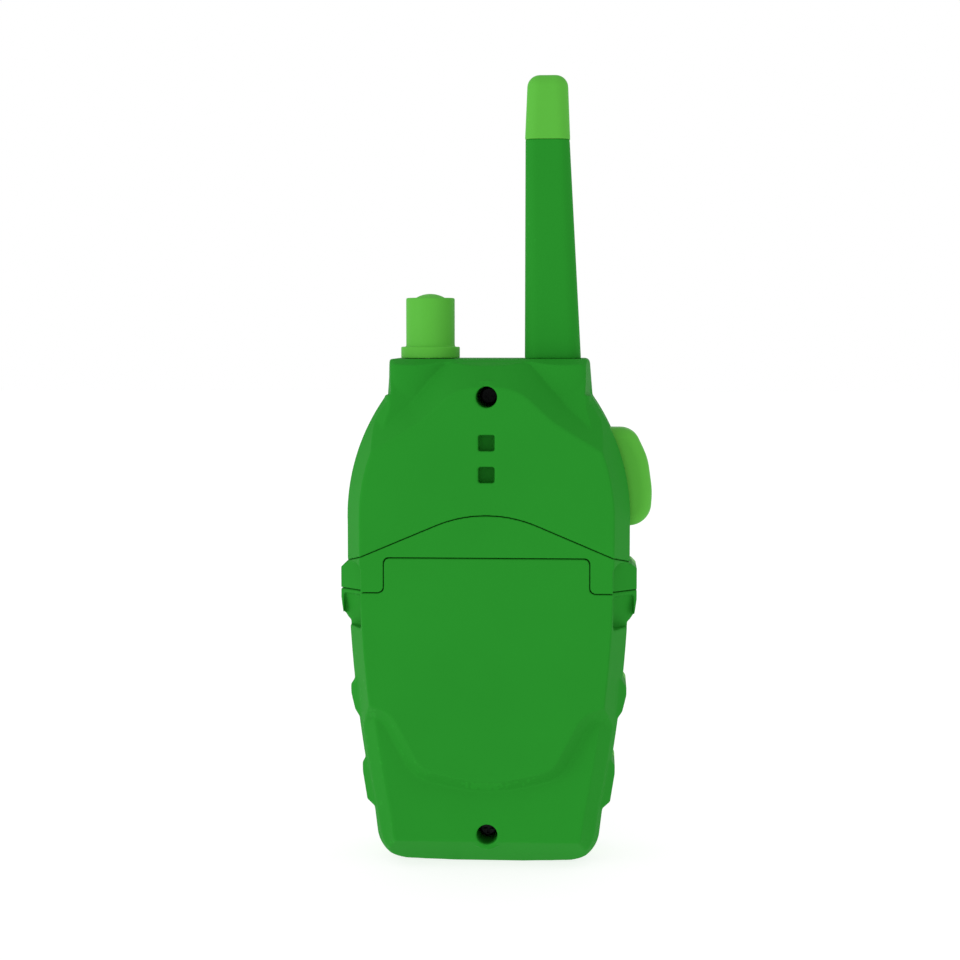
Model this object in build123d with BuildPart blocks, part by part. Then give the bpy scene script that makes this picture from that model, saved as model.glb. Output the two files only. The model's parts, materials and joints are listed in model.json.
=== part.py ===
"""Toy two-way radio, standing on its base with the antenna up and its back towards -Y.

The origin is the middle of the base. X runs across the body towards the talk button, and Y from back
to front.
"""

import math
import os

from build123d import *

# Overall form, in millimetres.
BODY_TOP = 99.4
REAR_PLATE_Y, REAR_BASE_Y, SIDE_EDGE_Y, DRAFT_START_Y = -14.0, -11.6, -8.2, -7.0
SPLIT_Y, BUMPER_FRONT_Y, FRONT_FACE_Y = 1.0, 7.0, 14.0
BASE_BEVEL_ANGLE, PLATEAU_BEVEL_ANGLE, SIDE_DRAFT = 46.0, 45.0, 24.0
PLATEAU_DEPTH = 5.4
WALL = 1.8
SEAM = 0.14
SHOULDER_START_Z, SHOULDER_TOP_Y = 85.0, -7.8
FOOT_EDGE_Y, FOOT_HEIGHT = -5.2, 5.4
COLLAR_EDGE_X, COLLAR_EDGE_Y, COLLAR_BACK_X, COLLAR_BOTTOM = 19.9, -1.5, 18.2, 92.4
LOBE_X, LOBE_RADIUS, LOBE_REAR_Y, LOBE_INNER_X, LOBE_OUTER_X, LOBE_BOTTOM = 14.4, 13.0, -9.7, 5.6, 19.6, 92.0
LOBE_CORNER = 2.5

# Front shell.
FRAME_INSET, FRONT_BEVEL = 1.8, 2.4

# Ears and grip ribs on the flanks, as (half width, height) corners.
EAR_FOOT_X, EAR_FOOT_Y, EAR_INNER_X, EAR_BOTTOM, EAR_TOP = 24.0, -11.2, 24.3, 48.3, 59.6
EAR_PROFILE = [
    (22.0, EAR_BOTTOM),
    (27.6, EAR_BOTTOM),
    (28.6, 49.8),
    (29.0, 52.5),
    (29.0, 58.6),
    (28.0, EAR_TOP),
    (22.0, EAR_TOP),
]
UPPER_RIB_PROFILE = [
    (20.0, 28.2),
    (24.6, 28.2),
    (26.3, 30.4),
    (27.1, 33.6),
    (27.1, 35.4),
    (25.8, 37.4),
    (20.0, 37.4),
]
LOWER_RIB_PROFILE = [
    (19.0, 11.4),
    (22.6, 11.4),
    (24.0, 12.4),
    (24.9, 18.0),
    (24.9, 19.8),
    (23.9, 21.4),
    (19.0, 21.4),
]
POCKET_BOTTOM, POCKET_BACK_Y, EAR_BACKING = 47.3, -5.2, 1.8
RIB_FOOT_X, FLANK_LEAN = 16.93, 0.15
SCOOP_OUTER_X, SCOOP_LIP, SCOOP_SLOPE = 28.3, 0.7, 0.3

# Seams across the back.
ARCH_APEX_Z, ARCH_SLOPE, ARCH_RADIUS = 71.6, 22.9, 25.0
TONGUE_HALF, TONGUE_TOP, DOOR_TOP, TONGUE_RADIUS = 19.85, 61.3, 54.5, 1.1
FAR = 45.0

# Screws and their wells.
COVER_SCREW_Z, DOOR_SCREW_Z = 92.2, 6.7
WELL_RADIUS, WELL_WALL = 2.05, 1.15
SHANK_RADIUS, HEAD_RADIUS, HEAD_HEIGHT = 1.1, 1.8, 1.3
BORE_CLEARANCE = 0.06
CASE_SCREW_X, CASE_SCREW_Z, BOSS_RADIUS = 16.2, 62.6, 2.4
COVER_SEAT_Y, DOOR_SEAT_Y = -1.6, -3.0

# Strap bar: two square windows joined by a passage behind a short bar.
STRAP_WINDOW, STRAP_UPPER_Z, STRAP_LOWER_Z, STRAP_DEPTH, BAR_THICKNESS = 3.1, 83.4, 77.3, 2.8, 1.1

# Knob on the left of the collar.
KNOB_X, KNOB_RADIUS, KNOB_TOP = -11.8, 4.8, 111.3
SKIRT_RADIUS, SKIRT_BOTTOM, SKIRT_TOP = 5.8, 99.5, 101.7
CAP_RADIUS, CAP_RISE, CAP_DEPTH = 2.9, 0.8, 1.5
SHAFT_RADIUS, BUSHING_RADIUS, SHAFT_TOP, SHAFT_BOTTOM = 1.7, 2.8, 108.0, 90.5
POT_HALF, POT_BOTTOM, POT_TOP = 4.2, 88.6, 95.4

# Antenna on the right of the collar.
ANTENNA_BASE_X, ANTENNA_BASE_WIDTH, ANTENNA_BASE_DEPTH = 12.4, 11.0, 8.6
ANTENNA_TOP_X, ANTENNA_TOP_WIDTH, ANTENNA_TOP_DEPTH, ANTENNA_SEAM_Z = 11.25, 8.6, 6.6, 142.0
TIP_WIDTH, TIP_DEPTH, TIP_TOP, TIP_NARROWING, TIP_ROUND = 8.8, 6.8, 154.5, 1.0, 2.4
FOOT_RADIUS, FOOT_BOTTOM = 3.0, 91.5
WIRE_RADIUS, WIRE_TOP = 0.8, 140.0

# Talk button on the right flank.
PTT_INNER_X, PTT_HALF_DEPTH, PTT_BOTTOM, PTT_TOP = 19.0, 4.8, 66.7, 85.9
PTT_GAP, PTT_FLANGE, PTT_RIB_Z = 0.3, 1.2, 76.0
SWITCH_X, SWITCH_Y, SWITCH_SIZE, SWITCH_HEIGHT, PLUNGER_RADIUS, PLUNGER_TRAVEL = 10.8, 1.9, 6.0, 3.4, 1.6, 1.0

# Electronics and the battery bay.
BOARD_Y, BOARD_THICKNESS, BOARD_BOTTOM, BOARD_TOP, BOARD_HALF = 5.0, 1.2, 44.0, 87.6, 18.6
CELL_RADIUS, CELL_LENGTH, CELL_PITCH, CELL_Y, CELL_BOTTOM = 5.15, 43.3, 10.7, -4.6, 13.2
NIB_RADIUS, NIB_HEIGHT, PLATE_WIDTH, PLATE_DEPTH, PLATE_THICKNESS = 1.9, 1.0, 7.0, 6.0, 0.4
SPRING_RADIUS, SPRING_WIRE = 3.0, 0.8
BOX_HALF, BOX_BOTTOM, BOX_TOP, BOX_REAR_Y, BOX_FLOOR_Y, BOX_WALL = 17.3, 10.2, 58.9, -9.0, 2.0, 1.1
CHIP_HEIGHT = 1.6
CHIPS = {(-4.0, 78.0): (7.0, 7.0), (4.6, 70.0): (4.0, 5.0), (-11.0, 70.0): (9.0, 3.6)}
DISPLAY_FRONT_Y = 11.4
SPEAKER_Z, SPEAKER_RADIUS, SPEAKER_RIM, RIM_DEPTH, BASKET_DEPTH = 28.5, 12.5, 1.6, 1.4, 1.0
CONE_THICKNESS, MAGNET_RADIUS, MAGNET_DEPTH = 0.6, 6.2, 3.0
SLOT_PITCH, SLOT_WIDTH, SLOT_ROWS = 2.9, 1.5, 3
WINDOW_HALF, WINDOW_BOTTOM, WINDOW_TOP = 13.2, 67.0, 83.0
KEY_RADIUS, KEY_GAP, KEY_PROUD, KEY_FLANGE_Y, KEY_FOOT_Y = 3.3, 0.25, 1.1, 11.2, 9.1
KEY_PLACES = {
    "key_call": (-10.6, 57.6),
    "key_up": (0.0, 60.4),
    "key_light": (10.6, 57.6),
    "key_menu": (-6.0, 50.0),
    "key_down": (6.0, 50.0),
}
MIC_X, MIC_Z = 14.4, 47.4


def at_y(y):
    """The upright plane at depth y, facing backwards, with its local x and y along X and Z."""
    return Plane.XZ.offset(-y)


def across_x(x):
    """The upright plane across the body at x, with its local x and y along Y and Z."""
    return Plane.YZ.offset(x)


def half_turn_tangent(angle):
    """The tangent of half an angle in degrees, which places an offset corner."""
    return math.tan(math.radians(angle) / 2)


def body_outline(inset=0.0):
    """The body seen from behind: collar, round shoulders, tapering flanks and a rounded base."""
    with BuildSketch() as sketch:
        with BuildLine():
            Line((0, 0), (7.0, 0))
            FilletPolyline((7.0, 0), (21.2, 0.6), (22.4, 10.5), radius=6.8)
            ThreePointArc((22.4, 10.5), (26.4, 37.7), (27.6, 60.0))
            Line((27.6, 60.0), (27.6, 67.0))
            ThreePointArc((27.6, 67.0), (25.6, 81.3), (20.2, 92.0))
            FilletPolyline((20.2, 92.0), (19.6, BODY_TOP), (0, BODY_TOP), radius=1.0)
            mirror(about=Plane.YZ)
        make_face()
        if inset:
            offset(amount=-inset)
    return sketch.sketch


def plateau_outline(inset=0.0):
    """The raised back panel: domed top, sides that run out past the flanks and a narrower rounded foot."""
    right = [
        (5.5, 94.0, 9.0),
        (12.9, 87.3, 10.0),
        (28.0, 78.0, 1.0),
        (28.0, 34.4, 1.0),
        (18.6, 31.0, 6.0),
        (12.8, 20.0, 5.0),
    ]
    left = [(-x, z, radius) for x, z, radius in reversed(right)]
    corners = right + [(0, 17.0, 30.0)] + left
    with BuildSketch() as sketch:
        with BuildLine():
            FilletPolyline(
                [corner[:2] for corner in corners],
                radius=[corner[2] for corner in corners],
                close=True,
            )
        make_face()
        if inset:
            offset(amount=-inset)
    return sketch.sketch


def flank_profiles(*profiles):
    """Right-hand corner lists and their mirror images, as one sketch."""
    with BuildSketch() as sketch:
        for profile in profiles:
            with BuildLine():
                Polyline(profile, close=True)
            make_face()
        mirror(about=Plane.YZ)
    return sketch.sketch


def before_slant(foot_x, foot_y):
    """Plan view of what lies in front of a back face that slants away from its foot."""
    far_y = foot_y + (FAR - foot_x) / math.tan(math.radians(BASE_BEVEL_ANGLE))
    with BuildSketch() as sketch:
        with BuildLine():
            Polyline(
                (0, FAR),
                (FAR, FAR),
                (FAR, far_y),
                (foot_x, foot_y),
                (0, foot_y),
                close=True,
            )
        make_face()
    return sketch.sketch


def foot_cut(edge_y, base_y, floor_z):
    """Side view of what the bevelled foot takes off the back of the body."""
    slope = FOOT_HEIGHT / (FOOT_EDGE_Y - REAR_BASE_Y)
    with BuildSketch() as sketch:
        with BuildLine():
            Polyline(
                (edge_y, floor_z),
                (base_y - 5, floor_z + slope * (edge_y - base_y + 5)),
                (base_y - 5, -5),
                (edge_y, -5),
                close=True,
            )
        make_face()
    return sketch.sketch


def above_arch(shift):
    """Everything above the arch seam, moved up by shift."""
    edge_z = ARCH_APEX_Z - FAR * math.tan(math.radians(ARCH_SLOPE)) + shift
    with BuildSketch() as sketch:
        with BuildLine():
            FilletPolyline((-FAR, edge_z), (0, ARCH_APEX_Z + shift), (FAR, edge_z), radius=ARCH_RADIUS)
            Polyline((FAR, edge_z), (FAR, BODY_TOP + 5), (-FAR, BODY_TOP + 5), (-FAR, edge_z))
        make_face()
    return sketch.sketch


def below_door_seam(shift):
    """Everything below the door's top seam with its tongue, grown by shift."""
    side = TONGUE_HALF + shift
    top = TONGUE_TOP + shift
    step = DOOR_TOP + shift
    seam = [(-FAR, step), (-side, step), (-side, top), (side, top), (side, step), (FAR, step)]
    with BuildSketch() as sketch:
        with BuildLine():
            FilletPolyline(seam, radius=TONGUE_RADIUS)
            Polyline((FAR, step), (FAR, -5), (-FAR, -5), (-FAR, step))
        make_face()
    return sketch.sketch


def talk_button_outline(grow=0.0):
    """The talk button seen from behind: a pad that is fullest low on the flank."""
    with BuildSketch() as sketch:
        with BuildLine():
            FilletPolyline(
                (PTT_INNER_X, PTT_BOTTOM),
                (PTT_INNER_X, PTT_TOP),
                (28.3, PTT_TOP),
                (31.1, 80.0),
                (32.0, 73.5),
                (31.5, PTT_BOTTOM),
                radius=[0, 0, 4.0, 12.0, 16.0, 4.4],
                close=True,
            )
        make_face()
        if grow:
            offset(amount=grow, kind=Kind.INTERSECTION)
    return sketch.sketch


def shoulder_cut(base_y, top_y):
    """Side view of what the sloping shoulders take off the back of the body."""
    with BuildSketch() as sketch:
        with BuildLine():
            Polyline(
                (base_y - 5, SHOULDER_START_Z),
                (base_y, SHOULDER_START_Z),
                (top_y, BODY_TOP),
                (top_y, BODY_TOP + 5),
                (base_y - 5, BODY_TOP + 5),
                close=True,
            )
        make_face()
    return sketch.sketch


def collar_lobe(inset=0.0):
    """Plan view of one of the two barrel-like swellings of the collar's back."""
    radius = LOBE_RADIUS - inset
    center_y = LOBE_REAR_Y + LOBE_RADIUS
    with BuildSketch() as sketch:
        with Locations((LOBE_X, center_y)):
            Circle(radius)
        with Locations(((LOBE_INNER_X + LOBE_OUTER_X) / 2, (LOBE_REAR_Y + SPLIT_Y) / 2)):
            Rectangle(
                LOBE_OUTER_X - LOBE_INNER_X - 2 * inset, SPLIT_Y - LOBE_REAR_Y + 2, mode=Mode.INTERSECT
            )
        fillet(sketch.vertices().sort_by(Axis.Y)[:2].sort_by(Axis.X)[-1], radius=LOBE_CORNER - inset)
        mirror(about=Plane.YZ)
    return sketch.sketch


def collar_cut(wall):
    """Plan view of what the collar's sides lose as they draw in towards the back."""
    with BuildSketch() as sketch:
        with BuildLine():
            Polyline(
                (COLLAR_EDGE_X - wall, COLLAR_EDGE_Y),
                (FAR, COLLAR_EDGE_Y),
                (FAR, REAR_PLATE_Y),
                (COLLAR_BACK_X - wall, REAR_PLATE_Y),
                close=True,
            )
        make_face()
        mirror(about=Plane.YZ)
    return sketch.sketch


def rear_form(wall):
    """The closed form of all rear casings, or their hollow when wall is above zero."""
    edge_y = SIDE_EDGE_Y + wall * half_turn_tangent(BASE_BEVEL_ANGLE)
    draft_y = DRAFT_START_Y + wall * half_turn_tangent(SIDE_DRAFT)
    base_y = REAR_BASE_Y + wall
    plate_y = REAR_PLATE_Y + wall
    with BuildPart() as form:
        with BuildSketch(at_y(edge_y)):
            add(body_outline(wall))
        extrude(amount=edge_y - base_y, taper=BASE_BEVEL_ANGLE)
        with BuildSketch(Plane.YZ):
            add(shoulder_cut(base_y, SHOULDER_TOP_Y + wall))
        extrude(amount=FAR, both=True, mode=Mode.SUBTRACT)
        with BuildSketch(Plane.XY.offset(BODY_TOP - wall)):
            add(collar_lobe(wall))
        extrude(amount=LOBE_BOTTOM - BODY_TOP)
        with BuildSketch(at_y(SPLIT_Y)):
            add(body_outline(wall))
        extrude(amount=SPLIT_Y - edge_y)
    with BuildPart() as plateau:
        with BuildSketch(at_y(plate_y)):
            add(plateau_outline(wall * half_turn_tangent(90.0 - PLATEAU_BEVEL_ANGLE)))
        extrude(amount=-PLATEAU_DEPTH, taper=-PLATEAU_BEVEL_ANGLE)
    with BuildPart() as drafted_body:
        with BuildSketch(at_y(SPLIT_Y)):
            add(body_outline(wall))
        extrude(amount=SPLIT_Y - draft_y)
        with BuildSketch(at_y(draft_y)):
            add(body_outline(wall))
        extrude(amount=draft_y - plate_y, taper=SIDE_DRAFT)
    with BuildPart() as whole:
        add((form.part + plateau.part) & drafted_body.part)
        with BuildSketch(Plane.YZ):
            add(foot_cut(FOOT_EDGE_Y + wall, base_y, wall * 1.3))
        extrude(amount=FAR, both=True, mode=Mode.SUBTRACT)
        with BuildSketch(Plane.XY.offset(COLLAR_BOTTOM - wall)):
            add(collar_cut(wall))
        extrude(amount=BODY_TOP, mode=Mode.SUBTRACT)
    return whole.part


def ear_pockets(grow=0.0):
    """The steps in the back panel beside the ears, grown by grow."""
    height = EAR_TOP + 0.5 - POCKET_BOTTOM
    with BuildSketch() as sketch:
        with Locations((EAR_INNER_X + 5.0, POCKET_BOTTOM + height / 2)):
            RectangleRounded(10.0 + 2 * grow, height + 2 * grow, 1.6 + grow)
        mirror(about=Plane.YZ)
    return sketch.sketch


rear_outer = rear_form(0.0)
with BuildPart() as rear_hollow:
    add(rear_form(WALL))
    with BuildSketch(at_y(POCKET_BACK_Y)):
        add(ear_pockets(EAR_BACKING))
    extrude(amount=20.0, mode=Mode.SUBTRACT)

# The backs of the ribs carry on the flanks' lower bevel, and those of the ears slant the same way.
with BuildPart() as rib_backs:
    with BuildSketch(Plane.XY):
        add(before_slant(RIB_FOOT_X, REAR_BASE_Y))
    extrude(amount=FAR, dir=(FLANK_LEAN, 0, 1))
    mirror(about=Plane.YZ)

with BuildPart() as ribs:
    with BuildSketch(at_y(SPLIT_Y)):
        add(flank_profiles(UPPER_RIB_PROFILE, LOWER_RIB_PROFILE))
    extrude(amount=SPLIT_Y - REAR_BASE_Y)
    add(rib_backs.part, mode=Mode.INTERSECT)

with BuildPart() as ear_backs:
    with BuildSketch(Plane.XY.offset(POCKET_BOTTOM - 1)):
        add(before_slant(EAR_FOOT_X, EAR_FOOT_Y))
    extrude(amount=EAR_TOP - POCKET_BOTTOM + 3)
    mirror(about=Plane.YZ)

with BuildPart() as ears:
    with BuildSketch(at_y(SPLIT_Y)):
        add(flank_profiles(EAR_PROFILE))
    extrude(amount=SPLIT_Y - REAR_BASE_Y)
    add(ear_backs.part, mode=Mode.INTERSECT)

with BuildPart() as pocket_cutter:
    with BuildSketch(at_y(POCKET_BACK_Y)):
        add(ear_pockets())
    extrude(amount=POCKET_BACK_Y - REAR_PLATE_Y + 1)
    add(ear_backs.part, mode=Mode.SUBTRACT)

with BuildPart() as rear_casing:
    add(rear_outer)
    add(pocket_cutter.part, mode=Mode.SUBTRACT)
    add(ears.part)
    add(ribs.part)
    add(rear_hollow.part, mode=Mode.SUBTRACT)


def screw(head_y, tip_y, x, z):
    """A pan-head screw pointing forwards, with a cross recess in its head."""
    with BuildPart() as body:
        with BuildSketch(at_y(head_y)):
            with Locations((x, z)):
                Circle(HEAD_RADIUS)
        extrude(amount=HEAD_HEIGHT)
        fillet(body.edges().group_by(Axis.Y)[0], radius=0.5)
        with BuildSketch(at_y(tip_y)):
            with Locations((x, z)):
                Circle(SHANK_RADIUS)
        extrude(amount=tip_y - head_y)
        with BuildSketch(at_y(head_y - HEAD_HEIGHT)):
            with Locations((x, z)):
                Rectangle(2.2, 0.5)
                Rectangle(0.5, 2.2)
        extrude(amount=-0.7, mode=Mode.SUBTRACT)
    return body.part


def save(solid, name):
    """Labels a finished piece and writes it to its own file."""
    solid.label = name
    export_step(solid, f"parts/{name}.step")


os.makedirs("parts", exist_ok=True)

# Upper rear cover: collar, shoulders, strap bar and the upper screw's well.
with BuildPart() as rear_cover:
    add(rear_casing.part)
    with BuildSketch(at_y(SPLIT_Y)):
        add(above_arch(SEAM / 2))
    extrude(amount=SPLIT_Y - REAR_PLATE_Y, mode=Mode.INTERSECT)
    with BuildSketch(at_y(COVER_SEAT_Y)):
        with Locations((0, COVER_SCREW_Z)):
            Circle(WELL_RADIUS + WELL_WALL)
    extrude(amount=COVER_SEAT_Y - REAR_PLATE_Y - 1.0)
    with BuildSketch(at_y(COVER_SEAT_Y - 1.2)):
        with Locations((0, COVER_SCREW_Z)):
            Circle(WELL_RADIUS)
    extrude(amount=12.0, mode=Mode.SUBTRACT)
    with BuildSketch(at_y(COVER_SEAT_Y)):
        with Locations((0, COVER_SCREW_Z)):
            Circle(SHANK_RADIUS + BORE_CLEARANCE)
    extrude(amount=2.0, mode=Mode.SUBTRACT)
    strap_middle_z = (STRAP_UPPER_Z + STRAP_LOWER_Z) / 2
    strap_span = STRAP_UPPER_Z - STRAP_LOWER_Z + STRAP_WINDOW
    with BuildSketch(at_y(REAR_PLATE_Y + STRAP_DEPTH + 1.2)):
        with Locations((0, strap_middle_z)):
            Rectangle(STRAP_WINDOW + 2.4, strap_span + 2.4)
    extrude(amount=STRAP_DEPTH + 1.2 - WALL + 0.1)
    with BuildSketch(at_y(REAR_PLATE_Y + STRAP_DEPTH)):
        with Locations((0, strap_middle_z)):
            Rectangle(STRAP_WINDOW, strap_span)
    extrude(amount=STRAP_DEPTH - BAR_THICKNESS, mode=Mode.SUBTRACT)
    with BuildSketch(at_y(REAR_PLATE_Y + STRAP_DEPTH)):
        with Locations((0, STRAP_UPPER_Z), (0, STRAP_LOWER_Z)):
            Rectangle(STRAP_WINDOW, STRAP_WINDOW)
    extrude(amount=STRAP_DEPTH + 1.0, mode=Mode.SUBTRACT)
    with BuildSketch(Plane.XY.offset(BODY_TOP - 3.0)):
        with Locations((KNOB_X, 0)):
            Circle(BUSHING_RADIUS + 0.1)
        with Locations((ANTENNA_BASE_X, 0)):
            Circle(FOOT_RADIUS + 0.05)
    extrude(amount=6.0, mode=Mode.SUBTRACT)
    with BuildSketch(Plane.XZ):
        add(talk_button_outline(PTT_GAP))
    extrude(amount=PTT_HALF_DEPTH + PTT_GAP, both=True, mode=Mode.SUBTRACT)
save(rear_cover.part, "rear_cover")


# Band between the two seams, carrying the upper halves of the ears.
with BuildPart() as rear_band:
    add(rear_casing.part)
    with BuildSketch(at_y(SPLIT_Y)):
        add(above_arch(-SEAM / 2))
        add(below_door_seam(SEAM / 2))
    extrude(amount=SPLIT_Y - REAR_PLATE_Y, mode=Mode.SUBTRACT)
save(rear_band.part, "rear_band")

# Battery door: lower back, flanks and base, with finger scoops in the ears that deepen downwards.
scoop_top = DOOR_TOP - 0.9
scoop_height = scoop_top - POCKET_BOTTOM
with BuildPart() as scoop_floor:
    with BuildSketch(Plane.XY.offset(scoop_top + 0.5)):
        add(before_slant(EAR_FOOT_X, EAR_FOOT_Y + SCOOP_LIP))
    extrude(amount=scoop_height + 3, dir=(0, SCOOP_SLOPE, -1))
    mirror(about=Plane.YZ)

with BuildPart() as scoops:
    with BuildSketch(at_y(POCKET_BACK_Y + 3)):
        with Locations(((EAR_INNER_X + SCOOP_OUTER_X) / 2, scoop_top - scoop_height / 2)):
            Rectangle(SCOOP_OUTER_X - EAR_INNER_X, scoop_height)
        mirror(about=Plane.YZ)
    extrude(amount=POCKET_BACK_Y + 3 - REAR_PLATE_Y)
    add(scoop_floor.part, mode=Mode.SUBTRACT)

with BuildPart() as battery_door:
    add(rear_casing.part)
    with BuildSketch(at_y(SPLIT_Y)):
        add(below_door_seam(-SEAM / 2))
    extrude(amount=SPLIT_Y - REAR_PLATE_Y, mode=Mode.INTERSECT)
    add(scoops.part, mode=Mode.SUBTRACT)
    with BuildSketch(at_y(DOOR_SEAT_Y)):
        with Locations((0, DOOR_SCREW_Z)):
            Circle(WELL_RADIUS + WELL_WALL)
    extrude(amount=DOOR_SEAT_Y - REAR_BASE_Y - 1.0)
    with BuildSketch(at_y(DOOR_SEAT_Y - 1.2)):
        with Locations((0, DOOR_SCREW_Z)):
            Circle(WELL_RADIUS)
    extrude(amount=12.0, mode=Mode.SUBTRACT)
    with BuildSketch(at_y(DOOR_SEAT_Y)):
        with Locations((0, DOOR_SCREW_Z)):
            Circle(SHANK_RADIUS + BORE_CLEARANCE)
    extrude(amount=2.0, mode=Mode.SUBTRACT)
save(battery_door.part, "battery_door")

# Bumper frame around the lower front, with its own ears and ribs.
with BuildPart() as bumper_frame:
    with BuildSketch(at_y(BUMPER_FRONT_Y)):
        add(body_outline())
        with Locations((0, EAR_TOP + FAR)):
            Rectangle(2 * FAR, 2 * FAR, mode=Mode.SUBTRACT)
        add(flank_profiles(EAR_PROFILE, UPPER_RIB_PROFILE, LOWER_RIB_PROFILE))
        add(body_outline(FRAME_INSET), mode=Mode.SUBTRACT)
    extrude(amount=BUMPER_FRONT_Y - SPLIT_Y)
save(bumper_frame.part, "bumper_frame")

# Front shell: a tray with a bevelled face, speaker slots, window, key holes and screw bosses.
with BuildPart() as front_shell:
    with BuildSketch(at_y(BUMPER_FRONT_Y)):
        add(body_outline())
        with Locations((0, EAR_TOP + FAR)):
            Rectangle(2 * FAR, 2 * FAR, mode=Mode.INTERSECT)
        add(body_outline(FRAME_INSET))
    extrude(amount=BUMPER_FRONT_Y - SPLIT_Y)
    with BuildSketch(at_y(FRONT_FACE_Y - FRONT_BEVEL)):
        add(body_outline())
    extrude(amount=FRONT_FACE_Y - FRONT_BEVEL - BUMPER_FRONT_Y)
    with BuildSketch(at_y(FRONT_FACE_Y - FRONT_BEVEL)):
        add(body_outline())
    extrude(amount=-FRONT_BEVEL, taper=45)
    with BuildSketch(at_y(FRONT_FACE_Y - WALL)):
        add(body_outline(FRAME_INSET + WALL))
    extrude(amount=FRONT_FACE_Y - WALL - SPLIT_Y, mode=Mode.SUBTRACT)
    with BuildSketch(at_y(FRONT_FACE_Y)):
        with Locations((0, (WINDOW_BOTTOM + WINDOW_TOP) / 2)):
            RectangleRounded(2 * WINDOW_HALF, WINDOW_TOP - WINDOW_BOTTOM, 2.0)
        with Locations(*KEY_PLACES.values()):
            Circle(KEY_RADIUS + KEY_GAP)
        with Locations((MIC_X, MIC_Z)):
            Circle(0.6)
        for row in range(-SLOT_ROWS, SLOT_ROWS + 1):
            half_slot = math.sqrt((SPEAKER_RADIUS - 2.0) ** 2 - (row * SLOT_PITCH) ** 2)
            with Locations((0, SPEAKER_Z + row * SLOT_PITCH)):
                SlotOverall(2 * half_slot, SLOT_WIDTH)
    extrude(amount=WALL + 0.1, both=True, mode=Mode.SUBTRACT)
    with BuildSketch(at_y(FRONT_FACE_Y - WALL)):
        with Locations((0, COVER_SCREW_Z), (0, DOOR_SCREW_Z)):
            Circle(BOSS_RADIUS)
    extrude(amount=FRONT_FACE_Y - WALL - (COVER_SEAT_Y + SEAM))
    with BuildSketch(at_y(FRONT_FACE_Y - WALL)):
        with Locations((CASE_SCREW_X, CASE_SCREW_Z), (-CASE_SCREW_X, CASE_SCREW_Z)):
            Circle(BOSS_RADIUS)
    extrude(amount=FRONT_FACE_Y - WALL - BOX_FLOOR_Y)
    with BuildSketch(at_y(FRONT_FACE_Y - WALL - 0.5)):
        with Locations(
            (0, COVER_SCREW_Z), (0, DOOR_SCREW_Z), (CASE_SCREW_X, CASE_SCREW_Z), (-CASE_SCREW_X, CASE_SCREW_Z)
        ):
            Circle(SHANK_RADIUS + BORE_CLEARANCE)
    extrude(amount=20.0, mode=Mode.SUBTRACT)
    with BuildSketch(Plane.XY.offset(BODY_TOP - 4.0)):
        with Locations((KNOB_X, 0)):
            Circle(BUSHING_RADIUS + 0.1)
        with Locations((ANTENNA_BASE_X, 0)):
            Circle(FOOT_RADIUS + 0.05)
    extrude(amount=6.0, mode=Mode.SUBTRACT)
    with BuildSketch(Plane.XZ):
        add(talk_button_outline(PTT_GAP))
    extrude(amount=PTT_HALF_DEPTH + PTT_GAP, both=True, mode=Mode.SUBTRACT)
save(front_shell.part, "front_shell")

# Antenna: a sheath with a straight outer edge on the knob side, a capped tip and a wire inside.
with BuildPart() as antenna:
    with BuildSketch(Plane.XY.offset(BODY_TOP)):
        with Locations((ANTENNA_BASE_X, 0)):
            RectangleRounded(ANTENNA_BASE_WIDTH, ANTENNA_BASE_DEPTH, 2.6)
    with BuildSketch(Plane.XY.offset(ANTENNA_SEAM_Z)):
        with Locations((ANTENNA_TOP_X, 0)):
            RectangleRounded(ANTENNA_TOP_WIDTH, ANTENNA_TOP_DEPTH, 2.2)
    loft(ruled=True)
    with BuildSketch(Plane.XY.offset(FOOT_BOTTOM)):
        with Locations((ANTENNA_BASE_X, 0)):
            Circle(FOOT_RADIUS)
    extrude(amount=BODY_TOP - FOOT_BOTTOM)
    with BuildSketch(Plane.XY.offset(FOOT_BOTTOM)):
        with Locations((ANTENNA_BASE_X, 0)):
            Circle(WIRE_RADIUS)
    extrude(amount=WIRE_TOP - FOOT_BOTTOM, mode=Mode.SUBTRACT)
save(antenna.part, "antenna")

with BuildPart() as antenna_wire:
    with BuildSketch(Plane.XY.offset(FOOT_BOTTOM - 2.0)):
        with Locations((ANTENNA_BASE_X, 0)):
            Circle(WIRE_RADIUS)
    extrude(amount=WIRE_TOP - FOOT_BOTTOM + 1.5)
save(antenna_wire.part, "antenna_wire")

with BuildPart() as antenna_tip:
    with BuildSketch(Plane.XY.offset(ANTENNA_SEAM_Z)):
        with Locations((ANTENNA_TOP_X, 0)):
            RectangleRounded(TIP_WIDTH, TIP_DEPTH, 2.4)
    with BuildSketch(Plane.XY.offset(TIP_TOP)):
        with Locations((ANTENNA_TOP_X, 0)):
            RectangleRounded(TIP_WIDTH - TIP_NARROWING, TIP_DEPTH - TIP_NARROWING, 2.6)
    loft(ruled=True)
    fillet(antenna_tip.faces().sort_by(Axis.Z)[-1].edges(), radius=TIP_ROUND)
save(antenna_tip.part, "antenna_tip")

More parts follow.
